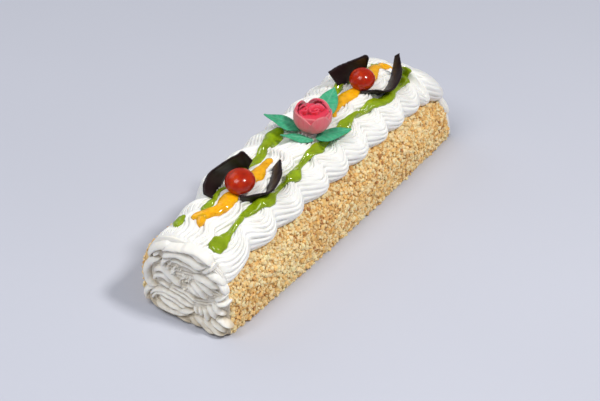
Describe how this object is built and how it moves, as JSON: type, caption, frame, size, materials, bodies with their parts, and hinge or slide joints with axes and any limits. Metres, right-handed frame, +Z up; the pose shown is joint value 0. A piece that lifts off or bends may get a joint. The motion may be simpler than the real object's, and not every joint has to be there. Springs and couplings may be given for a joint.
{
  "type": "swiss roll cake",
  "caption": "Swiss roll cake coated in chopped nuts, piped with whipped cream and fruit gel, with glace cherries, chocolate shards, a sugar rose and leaves.",
  "frame": {"origin": "middle of the base, on the surface the cake rests on", "axes": "+X along the roll towards the end with the plump cream dome, +Z up"},
  "size_m": [0.3112, 0.0882, 0.097],
  "materials": {
    "nut_coating": "dry chopped roast nuts",
    "cream": "soft whipped cream",
    "cherry": "glace cherry, glossy and translucent",
    "sugar_rose": "matt sugar petals",
    "sugar_leaf": "matt wafer leaf",
    "chocolate": "dark chocolate with a soft sheen"
  },
  "bodies": {
    "root": {"roll": "nut_coating", "cream_top": "cream", "cream_front": "cream", "cream_back": "cream", "cherry_front": "cherry", "cherry_back": "cherry", "rose": "sugar_rose", "leaf_left": "sugar_leaf", "leaf_front": "sugar_leaf", "leaf_right": "sugar_leaf", "leaf_back": "sugar_leaf", "chocolate_plate_front": "chocolate", "chocolate_crescent_front": "chocolate", "chocolate_plate_back": "chocolate", "chocolate_crescent_back": "chocolate"}
  },
  "joints": []
}
